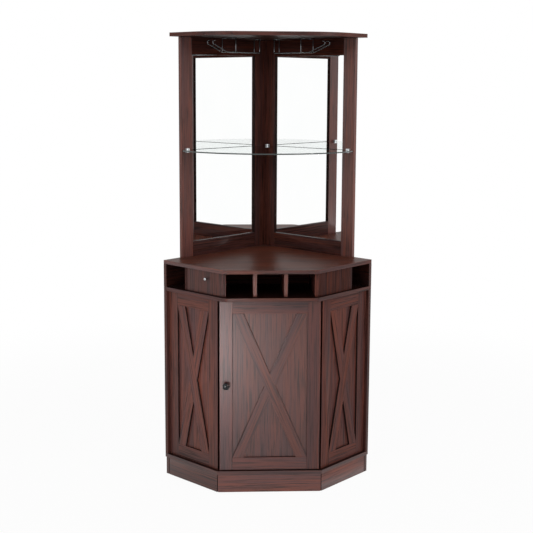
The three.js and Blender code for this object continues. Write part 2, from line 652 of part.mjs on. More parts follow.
// Stemware racks, hung under the top panel, one along each wall
function stemwareRacks() {
  const plateTop = TOP_UNDER - FIT;
  const plateLow = plateTop - RACK_PLATE;
  const level = TOP_UNDER - RACK_DROP;
  const rodTop = plateLow + RACK_PLATE / 2;
  const rail = (out) =>
    wire(
      [
        [RACK_BACK, out, rodTop],
        [RACK_BACK, out, level],
        [RACK_LEVEL_END, out, level],
        [RACK_TIP, out, level + RACK_RISE],
        [RACK_TIP + 1, out, level + RACK_RISE + RACK_CURL],
        [RACK_TIP - RACK_CURL, out, level + RACK_RISE + RACK_CURL + 2],
      ],
      RACK_BEND,
    );
  const hanger = (direction) => {
    const railOut = LANE_FROM_WALL + direction * LANE_HALF;
    const out = LANE_FROM_WALL + direction * HANGER_HALF;
    const corners = [[RACK_HANGER, railOut, level], [RACK_HANGER, out, level], [RACK_HANGER, out, rodTop]];
    return wire(corners, RACK_BEND);
  };
  const plate = (along, wireHalf) => {
    const half = wireHalf + WIRE_RADIUS + 2;
    const [near, far] = [LANE_FROM_WALL - half, LANE_FROM_WALL + half];
    return block(along - RACK_PLATE_WIDTH / 2, along + RACK_PLATE_WIDTH / 2, near, far, plateLow, plateTop);
  };
  const rack = join(
    plate(RACK_BACK, LANE_HALF),
    rail(LANE_FROM_WALL - LANE_HALF),
    rail(LANE_FROM_WALL + LANE_HALF),
    hanger(-1),
    hanger(1),
    plate(RACK_HANGER, HANGER_HALF),
  );
  for (const side of SIDES) add(walls[side], `stemware_rack_${side}`, rack.clone(), chrome);
}

plinth();
carcass();
slantedSides();
door();
doorHardware();
bottleRow();
hutch();
shelfClamps();
stemwareRacks();

export default cabinet;
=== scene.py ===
# A corner bar cabinet of dark wood laminate: its finishes, small hardware and studio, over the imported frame.
import math

import bpy
import numpy as np
from bpy.props import FloatProperty, FloatVectorProperty, IntProperty, PointerProperty
from mathutils import Matrix, Vector


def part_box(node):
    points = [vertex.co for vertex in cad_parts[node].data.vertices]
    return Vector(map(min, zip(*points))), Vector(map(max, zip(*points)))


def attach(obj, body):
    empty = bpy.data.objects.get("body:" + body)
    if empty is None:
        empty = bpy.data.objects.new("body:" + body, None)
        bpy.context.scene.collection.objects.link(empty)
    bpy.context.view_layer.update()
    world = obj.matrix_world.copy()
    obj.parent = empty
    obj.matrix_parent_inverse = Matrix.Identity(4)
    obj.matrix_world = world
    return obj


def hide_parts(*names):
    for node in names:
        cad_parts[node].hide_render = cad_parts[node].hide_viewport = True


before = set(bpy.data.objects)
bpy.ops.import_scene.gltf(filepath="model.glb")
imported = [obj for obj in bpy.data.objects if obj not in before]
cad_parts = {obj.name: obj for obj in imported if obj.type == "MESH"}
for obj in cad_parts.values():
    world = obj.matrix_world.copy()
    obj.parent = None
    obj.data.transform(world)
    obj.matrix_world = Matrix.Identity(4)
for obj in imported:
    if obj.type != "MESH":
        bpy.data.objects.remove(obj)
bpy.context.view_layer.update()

bl_info = {
    "name": "Corner bar cabinet",
    "version": (1, 0, 0),
    "blender": (4, 5, 0),
    "location": "View3D > Sidebar > Bar cabinet",
    "description": "Finishes, hardware and studio for a corner bar cabinet with a mirrored hutch",
    "category": "Object",
}

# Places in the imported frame, in metres. A wall's own directions are along it from the back corner, out and up.
DIAGONAL = math.sqrt(0.5)
BACK_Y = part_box("counter_top")[1].y
UP = (0.0, 0.0, 1.0)
DOWN = (0.0, 0.0, -1.0)
ACROSS = (1.0, 0.0, 0.0)
FRONT = (0.0, -1.0, 0.0)
ALONG = {"left": (-DIAGONAL, -DIAGONAL, 0.0), "right": (DIAGONAL, -DIAGONAL, 0.0)}
OUT = {"left": (DIAGONAL, -DIAGONAL, 0.0), "right": (-DIAGONAL, -DIAGONAL, 0.0)}
SIDES = ("left", "right")
BOARD = 0.015
BRACE_CUT = 0.043  # the level width of a brace's arm
OPENING_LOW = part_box("door_rail_bottom")[1].z
OPENING_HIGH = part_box("door_rail_top")[0].z
SIDE_OPENING = (0.0653, 0.2428)  # start and end of the slanted sides' openings, out from the wall
MIRROR_SPAN = (0.0673, 0.4547)  # start and end of a mirror along its wall
SMALL_KNOB_FOOT = (0.5823, 0.235, 0.850)  # along the left wall, out from it and up


# Numbers and colours

def linear(colour):
    """Display values turned to linear light: v/12.92 below 0.04045, else ((v + 0.055)/1.055) to the power 2.4."""
    v = np.asarray(colour, float)[:3]
    return np.where(v <= 0.04045, v / 12.92, ((v + 0.055) / 1.055) ** 2.4)


def toned(colour, tone):
    """A display colour made lighter or darker: its linear values times the tone."""
    return (*np.clip(linear(colour) * np.asarray(tone), 0, 1), 1.0)


class Value:
    """A shader socket that takes part in sums: each operator adds one Math node."""

    def __init__(self, finish, socket):
        self.finish, self.socket = finish, socket

    def __add__(self, other):
        return self.finish.maths("ADD", self, other)

    def __sub__(self, other):
        return self.finish.maths("SUBTRACT", self, other)

    def __rsub__(self, other):
        return self.finish.maths("SUBTRACT", other, self)

    def __mul__(self, other):
        return self.finish.maths("MULTIPLY", self, other)

    def __lt__(self, other):
        return self.finish.maths("LESS_THAN", self, other)

    def __gt__(self, other):
        return self.finish.maths("GREATER_THAN", self, other)

    def __abs__(self):
        return self.finish.maths("ABSOLUTE", self)

    __radd__ = __add__
    __rmul__ = __mul__


class Finish:
    """One procedural material, built node by node."""

    def __init__(self, name, world=None):
        self.material = None if world else bpy.data.materials.new(name)
        owner = world or self.material
        owner.use_nodes = True
        self.tree = owner.node_tree
        self.tree.nodes.clear()

    def node(self, kind, settings=None, inputs=None, output=0):
        """Adds a node: its settings first, then the values or links of its sockets. Returns one output."""
        node = self.tree.nodes.new("ShaderNode" + kind)
        for key, value in (settings or {}).items():
            setattr(node, key, value)
        for key, value in (inputs or {}).items():
            if isinstance(value, Value):
                self.tree.links.new(value.socket, node.inputs[key])
            else:
                node.inputs[key].default_value = value
        return Value(self, node.outputs[output]) if len(node.outputs) else node

    def maths(self, operation, *values):
        return self.node("Math", {"operation": operation}, dict(enumerate(values)))

    def vector(self, operation, *values):
        dot = operation == "DOT_PRODUCT"
        return self.node("VectorMath", {"operation": operation}, dict(enumerate(values)), 1 if dot else 0)

    def mix(self, factor, first, second):
        """Between two colours."""
        return self.node("Mix", {"data_type": "RGBA"}, {0: factor, 6: first, 7: second}, 2)

    def step(self, value, low, high):
        """0 below low, 1 above high, and an S-shaped rise between them."""
        ends = {"Value": value, "From Min": low, "From Max": high}
        return self.node("MapRange", {"interpolation_type": "SMOOTHSTEP"}, ends)

    def noise(self, place, scale, detail=2.0, roughness=0.5):
        """Cloudy noise, with its own scale along each direction of the place, in swells per metre."""
        spread = self.vector("MULTIPLY", place, scale)
        return self.node("TexNoise", {}, {"Vector": spread, "Scale": 1.0, "Detail": detail, "Roughness": roughness})

    def place(self):
        return self.node("TexCoord", output="Object")

    def along(self, direction):
        """How far the point lies along a direction from the origin."""
        return self.vector("DOT_PRODUCT", self.place(), direction)

    def surface(self, bump=None, **inputs):
        """Ends the material in a Principled shader. bump is a height and its distance in metres."""
        named = {key.replace("_", " "): value for key, value in inputs.items()}
        if bump:
            height, distance = bump
            named["Normal"] = self.node("Bump", {}, {"Height": height, "Distance": distance, "Strength": 1.0})
        shader = self.node("BsdfPrincipled", {}, named)
        self.node("OutputMaterial", {}, {"Surface": shader})
        return self.material


# Wood laminate

def grained(finish, grain, seed):
    """The board's own frame: the object's coordinates turned so that the first runs with the grain, and moved
    by a different amount for each board, so that no two boards share a figure."""
    along = np.array(grain) / np.linalg.norm(grain)
    side = np.cross((0, 0, 1) if abs(along[2]) < 0.9 else (1, 0, 0), along)
    side /= np.linalg.norm(side)
    turn = Matrix(np.array([along, side, np.cross(along, side)]).tolist()).to_euler()
    offset = (seed * 3.7 % 11, seed * 7.3 % 13, seed * 5.1 % 17)
    return finish.node("Mapping", {}, {"Vector": finish.place(), "Rotation": turn, "Location": offset})


def laminate(finish, place, tone, line=None, gloss=1.0):
    """Printed wood grain: reddish and grey-brown streaks that drift across the board, fine dark lines and short
    pores along the grain, and a faint relief. line is a mask of joints to draw dark."""
    look = bpy.context.scene.cabinet_laminate
    length, width = look.streak_length, look.streak_width
    drift = finish.noise(place, (0.27 / length, 5.0, 5.0), 1.0)
    bend = finish.node("CombineXYZ", {}, {1: (drift - 0.5) * look.wander})
    board = finish.vector("ADD", place, bend)
    # Scales go along the grain, then across it: the broad bands are some eight streaks wide.
    broad = finish.noise(board, (0.5 / length, 0.13 / width, 0.13 / width), 2.0)
    streak = finish.noise(board, (0.8 / length, 1.0 / width, 1.0 / width), 3.0, 0.65)
    fine = finish.noise(board, (2.2 / length, 1.7 / width, 1.7 / width), 3.0, 0.6)
    pores = finish.noise(board, (30.0, 1900.0, 1900.0), 1.0)
    warm, cool, dark = (toned(c, tone) for c in (look.warm, look.cool, look.dark))
    figure = finish.mix(finish.step(broad * 0.45 + streak * 0.55, 0.35, 0.65), cool, warm)
    lined = finish.mix(finish.step(fine, 0.48, 0.66) * look.contrast, figure, dark)
    colour = finish.mix(finish.step(pores, 0.58, 0.72) * 0.35, lined, dark)
    if line is not None:
        colour = finish.mix(line, colour, toned(look.edge, 1.0))
    return finish.surface(
        Base_Color=colour,
        Roughness=look.roughness + (fine - 0.5) * 0.16,
        Specular_IOR_Level=0.5 * gloss,
        bump=(fine * 0.6 - pores * 0.4, 0.00012),
    )


def board_finish(name, grain, tone, seed, gloss=1.0):
    """Laminate with one grain direction. tone lightens or darkens it, and gloss scales its sheen."""
    finish = Finish(name)
    return laminate(finish, grained(finish, grain, seed), tone, gloss=gloss)


def switched_finish(name, mask_of, first, second, tone, seed, line_of=None, gloss=1.0):
    """Laminate whose grain changes direction over one board: where the mask is 1 the second grain shows."""
    finish = Finish(name)
    grains = {0: mask_of(finish), 4: grained(finish, first, seed), 5: grained(finish, second, seed + 4)}
    place = finish.node("Mix", {"data_type": "VECTOR"}, grains, 1)
    return laminate(finish, place, tone, line_of(finish) if line_of else None, gloss)


def shaded_cut_edge(name):
    """An applied board's cut edge: nearly black, partly its own stain and partly painted shade, with faint layers."""
    finish = Finish(name)
    look = bpy.context.scene.cabinet_laminate
    layers = finish.noise(finish.place(), (300.0,) * 3, 2.0)
    return finish.surface(
        Base_Color=finish.mix(finish.step(layers, 0.3, 0.7), toned(look.edge, 0.7), toned(look.edge, 1.5)),
        Roughness=0.6 + layers * 0.1,
        Specular_IOR_Level=0.15,
        bump=(layers, 0.0001),
    )


# Hardware finishes. Pairs of display colours are the darker and the lighter end of a finish's variation.

RUBBED_BRONZE = (0.24, 0.17, 0.145)
SILVER = ((0.993, 0.996, 0.995), (1.0, 1.0, 1.0))
HARDBOARD = ((0.34, 0.235, 0.175), (0.52, 0.38, 0.29))
GLASS = ((0.90, 0.965, 0.945), (0.935, 0.98, 0.965))
GLASS_RIM = ((0.05, 0.10, 0.095), (0.14, 0.22, 0.205))


def varied(finish, factor, pair):
    """Between the two colours of a pair."""
    return finish.mix(factor, toned(pair[0], 1.0), toned(pair[1], 1.0))


def metal(name, colour, roughness, metallic=1.0):
    """Metal with faint cloudy variation in its colour, polish and relief."""
    finish = Finish(name)
    cloud = finish.noise(finish.place(), (240.0,) * 3, 3.0)
    mark = finish.noise(finish.place(), (2160.0,) * 3, 2.0)
    return finish.surface(
        Base_Color=finish.mix(finish.step(cloud, 0.3, 0.7), toned(colour, 0.92), toned(colour, 1.08)),
        Roughness=roughness + (mark - 0.5) * 0.04,
        Metallic=metallic,
        bump=(mark, 0.000008),
    )


def bronze(name, colour):
    """Oil-rubbed bronze: nearly black, with warmer patches where hands have polished it."""
    finish = Finish(name)
    patch = finish.noise(finish.place(), (130.0,) * 3, 3.0)
    speck = finish.noise(finish.place(), (1400.0,) * 3, 2.0)
    rubbed = finish.step(patch, 0.52, 0.74)
    return finish.surface(
        Base_Color=finish.mix(rubbed, toned(colour, 0.8), toned(RUBBED_BRONZE, 1.0)),
        Roughness=0.17 - rubbed * 0.04 + (speck - 0.5) * 0.04,
        Metallic=0.15,
        Specular_IOR_Level=0.3,
        bump=(speck, 0.00002),
    )


def moulded(name, colour):
    """Moulded plastic with a fine spark-eroded grain."""
    finish = Finish(name)
    grain = finish.noise(finish.place(), (1800.0,) * 3, 2.0)
    shade = finish.mix(grain, toned(colour, 0.85), toned(colour, 1.25))
    return finish.surface(Base_Color=shade, Roughness=0.46 + grain * 0.12, bump=(grain, 0.00003))


def silvered(name):
    """Silvered glass: a mirror with the slightest green and the slightest unevenness of polish."""
    finish = Finish(name)
    cloud = finish.noise(finish.place(), (9.0,) * 3, 2.0)
    shade = varied(finish, cloud, SILVER)
    return finish.surface(Base_Color=shade, Roughness=0.002 + cloud * 0.003, Metallic=1.0)


def hardboard(name):
    """Pressed fibre board behind the mirrors: matted fibres over a mottled brown."""
    finish = Finish(name)
    mottle = finish.noise(finish.place(), (35.0,) * 3, 3.0)
    fibre = finish.noise(finish.place(), (900.0, 900.0, 500.0), 3.0, 0.7)
    return finish.surface(
        Base_Color=varied(finish, mottle * 0.5 + fibre * 0.5, HARDBOARD),
        Roughness=0.72 + fibre * 0.15,
        Specular_IOR_Level=0.2,
        bump=(fibre, 0.0002),
    )


def clear_glass(name):
    """Clear float glass: the body shows what is behind it, with a faint green and the sheen of its faces."""
    finish = Finish(name)
    cloud = finish.noise(finish.place(), (14.0,) * 3, 2.0)
    shade = varied(finish, cloud, GLASS)
    return finish.surface(Base_Color=shade, Roughness=0.001 + cloud * 0.002, IOR=1.5, Transmission_Weight=1.0)


def glass_rim(name):
    """The ground and polished rim of the shelf, where the glass is seen through its length: deep green."""
    finish = Finish(name)
    cloud = finish.noise(finish.place(), (40.0, 40.0, 900.0), 2.0)
    shade = varied(finish, finish.step(cloud, 0.3, 0.7), GLASS_RIM)
    return finish.surface(Base_Color=shade, Roughness=0.10 + cloud * 0.08, Coat_Weight=0.6, Coat_Roughness=0.05)


# Surfaces

def placed(points, origin, first, second, third):
    """Local points carried to a place: origin plus each coordinate times its own direction."""
    return np.asarray(origin) + np.asarray(points) @ np.array([first, second, third])


def on_wall(side, points):
    """Points given along a wall, out from it and up, in the cabinet's own X, Y and Z."""
    return placed(points, (0, BACK_Y, 0), ALONG[side], OUT[side], UP)


def smooth_line(points, steps):
    """Catmull-Rom: between two points the line is the cubic that leaves each one along its neighbours' chord."""
    points = np.asarray(points, float)
    p = np.vstack([2 * points[0] - points[1], points, 2 * points[-1] - points[-2]])
    t = np.linspace(0, 1, steps, endpoint=False)[None, :, None]
    p0, p1, p2, p3 = (p[i : len(p) - 3 + i, None, :] for i in range(4))
    cubic = p1 + ((p2 - p0) * t + (2 * p0 - 5 * p1 + 4 * p2 - p3) * t**2 + (3 * p1 - p0 - 3 * p2 + p3) * t**3) / 2
    return np.vstack([cubic.reshape(-1, points.shape[1]), points[-1:]])


def bent_line(corners, radius, steps=8):
    """Straight runs with a rounded corner between them: at each inner corner c, with a and b the points one
    setback before and after it, the line is (1-t)(1-t)a + 2t(1-t)c + tt b. The setback is radius times the
    tangent of half the turn."""
    c = np.asarray(corners, float)
    before, after = c[:-2] - c[1:-1], c[2:] - c[1:-1]
    near, far = (np.linalg.norm(v, axis=1, keepdims=True) for v in (before, after))
    before, after = before / near, after / far
    turn = math.pi - np.arccos(np.clip((before * after).sum(1, keepdims=True), -1, 1))
    setback = np.minimum(radius * np.tan(turn / 2), np.minimum(near, far) / 2)
    a, b, m = (v[:, None, :] for v in (c[1:-1] + before * setback, c[1:-1] + after * setback, c[1:-1]))
    t = np.linspace(0, 1, steps)[None, :, None]
    bends = (1 - t) ** 2 * a + 2 * t * (1 - t) * m + t**2 * b
    return np.vstack([c[:1], bends.reshape(-1, 3), c[-1:]])


def skin(rings):
    """Points, quads and end triangles of a closed shell: ring i's point j is joined to its neighbours by quads,
    and the first and last rings are single points that close the ends with fans."""
    rows, columns = rings.shape[:2]
    points = np.vstack([rings[:1, 0], rings[1:-1].reshape(-1, 3), rings[-1:, 0]])
    i, j = np.meshgrid(np.arange(rows - 3), np.arange(columns), indexing="ij")
    here = 1 + i * columns + j
    beside = 1 + i * columns + (j + 1) % columns
    quads = np.stack([here, beside, beside + columns, here + columns], -1).reshape(-1, 4)
    j = np.arange(columns)
    k = (j + 1) % columns
    last = 1 + (rows - 3) * columns
    low = np.stack([np.zeros_like(j), 1 + k, 1 + j], -1)
    high = np.stack([np.full_like(j, len(points) - 1), last + j, last + k], -1)
    return points, quads, np.vstack([low, high])


def turned(profile, sides):
    """A turned shape about +Z: the point at height h and angle a is (r cos a, r sin a, h), with r zero at both
    ends."""
    angle = np.linspace(0, 2 * math.pi, sides, endpoint=False)
    r, h = np.maximum(profile[:, :1], 0), profile[:, 1:]
    return skin(np.stack([r * np.cos(angle), r * np.sin(angle), h + 0 * angle], -1))


def wire(path, binormal, radius, sides):
    """A round wire along a flat path: each ring is radius(cos a binormal + sin a normal), square to the path, and
    three shrinking rings round each end off as a quarter circle."""
    path = np.asarray(path, float)
    gap = np.gradient(path, axis=0)
    ahead = gap / np.linalg.norm(gap, axis=1, keepdims=True)
    quarter = np.radians([90, 60, 30])[:, None]
    start = path[0] - ahead[0] * radius * np.sin(quarter)
    end = path[-1] + ahead[-1] * radius * np.sin(quarter[::-1])
    centre = np.vstack([start, path, end])
    ahead = np.vstack([np.repeat(ahead[:1], 3, 0), ahead, np.repeat(ahead[-1:], 3, 0)])
    reach = radius * np.concatenate([np.cos(quarter[:, 0]), np.ones(len(path)), np.cos(quarter[::-1, 0])])
    across = np.broadcast_to(np.asarray(binormal, float), ahead.shape)
    normal = np.cross(ahead, across)
    angle = np.linspace(0, 2 * math.pi, sides, endpoint=False)[None, :, None]
    ring = np.cos(angle) * across[:, None, :] + np.sin(angle) * normal[:, None, :]
    return skin(centre[:, None, :] + reach[:, None, None] * ring)


def slab(half_width, half_length, low, high, corner, soft, columns=48):
    """A thin plate with round corners and softened edges: its outline at angle a is the corner's centre plus
    corner(cos a, sin a), drawn in by soft at the top and bottom faces."""
    angle = (np.arange(columns) + 0.5) * 2 * math.pi / columns
    c, s = np.cos(angle), np.sin(angle)
    centre = np.stack([np.sign(c) * (half_width - corner), np.sign(s) * (half_length - corner)], -1)
    levels = [(0.0, low), (1 - soft, low), (1.0, low + soft), (1.0, high - soft), (1 - soft, high), (0.0, high)]
    inset = np.array([corner - soft, corner - soft, corner, corner, corner - soft, corner - soft])
    shape = centre[None] + inset[:, None, None] * np.stack([c, s], -1)[None]
    shape[[0, -1]] = 0
    height = np.array([h for _, h in levels])[:, None, None] + np.zeros((1, columns, 1))
    return skin(np.concatenate([shape, height], -1))


def screw_head(radius, height, slot=0.28, sides=40, rows=12):
    """A pan head with a cross recess, seated at z = 0: over the disc the height is height(1 - (r/R)^4)^0.5 less
    0.55 height wherever the smaller of |x| and |y| is under the slot's half width and the larger is under 0.62 R."""
    r = np.concatenate([[0, 1], np.linspace(1, 0, rows)])[:, None] * radius
    angle = np.linspace(0, 2 * math.pi, sides, endpoint=False)[None, :]
    x, y = r * np.cos(angle), r * np.sin(angle)
    dome = height * np.sqrt(np.clip(1 - (r / radius) ** 4, 0, 1)) + 0 * angle
    near = np.minimum(abs(x), abs(y)) < slot * radius / 2
    within = np.maximum(abs(x), abs(y)) < 0.62 * radius
    z = dome - 0.55 * height * (near & within)
    z[:2] = 0
    return skin(np.stack([x, y, z], -1))


def carry(shape, origin, first, second, third):
    """A shape moved to its place. Three directions that form a left hand turn it inside out, so its faces
    are then listed the other way round."""
    points, quads, fans = shape
    if np.dot(np.cross(first, second), third) < 0:
        quads, fans = quads[:, ::-1], fans[:, ::-1]
    return placed(points, origin, first, second, third), quads, fans


def carry_to_wall(side, shape):
    return carry(shape, (0, BACK_Y, 0), ALONG[side], OUT[side], UP)


def spot(node, across=0.5, back=0.5, up=0.5):
    """A point of a node's box. Each share is 0 at the box's low side and 1 at its high side."""
    low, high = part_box(node)
    return low + (high - low) * Vector((across, back, up))


def gather(shapes):
    """Several shapes as one: the points end to end, with each shape's faces counting on from the last."""
    points, quads, fans = zip(*shapes)
    starts = np.cumsum([0, *map(len, points[:-1])])
    quads, fans = (np.vstack([faces + n for faces, n in zip(lists, starts)]) for lists in (quads, fans))
    return np.vstack(points), quads, fans


def screw_under(hardware, place, height):
    """A small screw's head, seated against a face that looks down."""
    return carry(screw_head(hardware.screw_radius, height), place, ACROSS, FRONT, DOWN)


def make(name, shape, look, body, sharp=35.0):
    """Makes the object, at the origin, with smooth shading between faces that meet flatter than sharp."""
    points, quads, fans = shape
    mesh = bpy.data.meshes.new(name)
    mesh.from_pydata(points.tolist(), [], quads.tolist() + fans.tolist())
    mesh.polygons.foreach_set("use_smooth", np.ones(len(mesh.polygons), bool))
    mesh.set_sharp_from_angle(angle=math.radians(sharp))
    mesh.materials.append(look)
    mesh.update()
    piece = bpy.data.objects.new(name, mesh)
    bpy.context.scene.collection.objects.link(piece)
    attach(piece, body)
    return piece


# The frame's own boards

def dress(node, looks, choose=None, soft=0.0006):
    """Gives a node its materials and slightly softened edges. choose takes the faces' normals and centres and
    returns which material each one takes."""
    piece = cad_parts[node]
    mesh = piece.data
    mesh.materials.clear()
    for look in looks:
        mesh.materials.append(look)
    if choose is not None:
        normals, centres = np.zeros((2, len(mesh.polygons) * 3))
        mesh.polygons.foreach_get("normal", normals)
        mesh.polygons.foreach_get("center", centres)
        index = choose(normals.reshape(-1, 3), centres.reshape(-1, 3))
        mesh.polygons.foreach_set("material_index", np.asarray(index, np.int32))
    mesh.update()
    if soft:
        weld = piece.modifiers.new("Weld", "WELD")
        weld.merge_threshold = 0.00001
        bevel = piece.modifiers.new("Soft edges", "BEVEL")
        bevel.width, bevel.segments, bevel.limit_method = soft, 2, "ANGLE"
        bevel.angle_limit = math.radians(35)
        bevel.harden_normals = True


def plain(node, grain, tone, seed, gloss=1.0):
    """Dresses a node in one laminate."""
    dress(node, [board_finish(node, grain, tone, seed, gloss)])


def facing(normals, direction, least=0.9):
    return normals @ np.asarray(direction, float) > least


def toward(direction):
    """Picks the faces that look in a direction for the second material."""
    return lambda normals, centres: facing(normals, direction)


def banded(node, under, top, bands, seed):
    """A level board: printed faces, and edge bands whose grain runs with each edge. Each look is a tone and a
    gloss, and the bands' looks are for the front, the left and the right edge."""
    parts = ("under", "top", "band_front", "band_left", "band_right")
    grains = (ACROSS, ACROSS, ACROSS, OUT["left"], OUT["right"])
    looks = [
        board_finish(f"{node}_{part}", way, tone, seed + 0.37 * i, gloss)
        for i, (part, way, (tone, gloss)) in enumerate(zip(parts, grains, (under, top, *bands)))
    ]

    def choose(normals, centres):
        index = np.zeros(len(normals), int)
        index[facing(normals, UP)] = 1
        level = abs(normals[:, 2]) < 0.5
        index[level] = 2
        index[level & facing(normals, ALONG["left"], 0.75)] = 3
        index[level & facing(normals, ALONG["right"], 0.75)] = 4
        return index

    dress(node, looks, choose)


def frame_masks(level, low, high):
    """Two masks for an applied frame: its rails, which lie between low and high along the level direction and
    beyond the opening's height, and the thin joints where they meet the stiles."""
    middle, half = (low + high) / 2, (high - low) / 2
    middle_height, half_height = (OPENING_LOW + OPENING_HIGH) / 2, (OPENING_HIGH - OPENING_LOW) / 2

    def aside(finish):
        return abs(finish.along(level) - middle)

    def beyond(finish):
        return abs(finish.along(UP) - middle_height) > half_height

    def rails(finish):
        return (aside(finish) < half) * beyond(finish)

    def joints(finish):
        return (abs(aside(finish) - half) < 0.0006) * beyond(finish) * 0.85

    return rails, joints


def brace_arms(level, low, high):
    """1 on the arm that falls from the upper start to the lower end of the level direction. The arm's middle line
    runs from corner to corner of the opening less one cut, and the mask is the distance from it under half its
    width."""
    width, height = high - low - BRACE_CUT, OPENING_HIGH - OPENING_LOW
    size = math.hypot(width, height)
    normal = tuple(np.array(level) * height / size + np.array(UP) * width / size)
    middle = (low + high) / 2 * height / size + (OPENING_LOW + OPENING_HIGH) / 2 * width / size
    half = BRACE_CUT / 2 * height / size
    return lambda finish: abs(finish.along(normal) - middle) < half


def arm_grains(level, low, high):
    """The directions of a brace's rising and falling arms."""
    width, height = high - low - BRACE_CUT, OPENING_HIGH - OPENING_LOW
    along, up = np.array(level) * width, np.array(UP) * height
    return tuple(along + up), tuple(along - up)


# Settings

def colour_field(name, description, default):
    return FloatVectorProperty(
        name=name, description=description, subtype="COLOR_GAMMA", min=0, max=1, default=default
    )


def length_field(name, description, least, most, default):
    return FloatProperty(name=name, description=description, unit="LENGTH", min=least, max=most, default=default)


def share_field(name, description, default):
    return FloatProperty(name=name, description=description, subtype="FACTOR", min=0.0, max=1.0, default=default)


def power_field(name, description, default):
    return FloatProperty(name=name, description=description, unit="POWER", min=0.0, max=500.0, default=default)


class LaminateSettings(bpy.types.PropertyGroup):
    warm: colour_field("Warm streaks", "Reddish streaks of the printed grain", (0.380, 0.200, 0.155))
    cool: colour_field("Cool streaks", "Grey-brown streaks between the warm ones", (0.268, 0.176, 0.176))
    dark: colour_field("Dark lines", "Fine lines and pores", (0.150, 0.088, 0.075))
    # The cut edges' colour is partly the raw edges' own stain and partly painted shade of the recesses.
    edge: colour_field("Cut edges", "Stained raw edges of the applied boards", (0.120, 0.062, 0.048))
    streak_width: length_field("Streak width", "Width of one streak", 0.002, 0.05, 0.0057)
    streak_length: length_field("Streak length", "Length over which a streak comes and goes", 0.05, 2.0, 0.35)
    wander: length_field("Wander", "How far the grain drifts across a board", 0.0, 0.2, 0.045)
    contrast: share_field("Line contrast", "Strength of the fine dark lines", 0.95)
    roughness: share_field("Roughness", "Roughness of the satin surface", 0.35)


class HardwareSettings(bpy.types.PropertyGroup):
    chrome: colour_field("Chrome", "Colour of the shelf clamps", (0.84, 0.85, 0.86))
    small_knob: colour_field("Small knob", "Colour of the small chrome knob", (0.68, 0.68, 0.69))
    # The wire's dark colour is painted reflection: it stands for the dark wood that the chrome shows.
    wire: colour_field("Wire", "Colour of the stemware racks' wire", (0.34, 0.34, 0.35))
    steel: colour_field("Steel", "Colour of screws, pins and the strike plate", (0.60, 0.61, 0.62))
    bronze: colour_field("Bronze", "Colour of the door's knob", (0.07, 0.075, 0.09))
    plastic: colour_field("Plastic", "Colour of the catch's housing", (0.12, 0.11, 0.105))
    wire_radius: length_field("Wire radius", "Radius of the stemware racks' wire", 0.001, 0.004, 0.002)
    wire_sides: IntProperty(name="Wire sides", description="Facets round the wire", min=8, max=32, default=16)
    bend: length_field("Bend", "Radius of the wire's bends", 0.002, 0.02, 0.005)
    screw_radius: length_field("Screw head", "Radius of the small screws' heads", 0.001, 0.005, 0.0024)


class StudioSettings(bpy.types.PropertyGroup):
    distance: length_field("Camera distance", "How far the camera stands in front of the middle", 2.0, 10.0, 4.2)
    height: length_field("Camera height", "Height of the camera over the floor", 0.2, 3.0, 1.60)
    aside: length_field("Camera aside", "How far the camera stands to the right", -2.0, 2.0, -0.19)
    focal: FloatProperty(
        name="Focal length in pixels",
        description="Focal length over the image's 533 pixels",
        min=300,
        max=3000,
        default=1031,
    )
    sky: FloatProperty(
        name="Sky", description="Strength of the even light from all round", min=0.0, max=2.0, default=0.45
    )
    key: power_field("Key light", "Power of the large lamp at the front left", 38.0)
    front: power_field("Front light", "Power of the low, narrow lamp whose sheen shows on the door", 0.70)
    fill: power_field("Fill light", "Power of the large lamp at the front right", 38.0)
    floor: colour_field("Floor", "Colour of the floor", (0.94, 0.94, 0.94))


# Steps. A look is a tone and a gloss. Pairs of looks are for the left and the right side and differ as painted light.

class CABINET_OT_base(bpy.types.Operator):
    """Finishes the plinth, the level boards, the wall panels and the posts of the base"""

    bl_idname = "cabinet.base"
    bl_label = "Base boards"

    def execute(self, context):
        # Painted light and shade: the bands' and the plinth's faces are toned side by side to the light on each.
        # Painted shade: the undersides, the mid board's top (the bays' floor) and the bottom board's top are darkened.
        counter_bands = ((1.12, 0.65), (1.6, 0.9), (1.25, 0.4))
        board_bands = ((1.0, 0.6), (1.15, 0.45), (1.1, 0.4))
        banded("counter_top", (0.5, 0.2), (np.array([1.2, 1.1, 0.9]), 0.07), counter_bands, 1.0)
        banded("mid_board", (0.7, 0.3), (0.16, 0.06), board_bands, 2.0)
        banded("bottom_board", (0.8, 0.4), (0.30, 0.1), ((1.0, 1.0),) * 3, 3.0)
        banded("inner_shelf", (0.8, 0.4), (0.9, 0.5), board_bands, 4.0)
        edge = shaded_cut_edge("plinth_cut_edge")
        dress("plinth_front", [board_finish("plinth_front", ACROSS, 1.7, 5.0), edge], self.mitres(ACROSS))
        for i, (side, tone) in enumerate(zip(SIDES, (0.90, 1.7))):
            name = f"plinth_side_{side}"
            dress(name, [board_finish(name, OUT[side], tone, 6.0 + i), edge], self.mitres(OUT[side]))
            plain(f"plinth_wall_{side}", ALONG[side], 0.85, 8.0 + i)
            plain(f"lower_wall_panel_{side}", UP, 0.9, 10.0 + i, 0.5)
            plain(f"front_post_{side}", UP, 0.9, 12.0 + i, 0.5)
        return {"FINISHED"}

    def mitres(self, along):
        """Picks a plinth board's two end faces; their dark finish is partly painted shade of the mitre joint."""
        return lambda normals, centres: abs(normals @ along) > 0.3


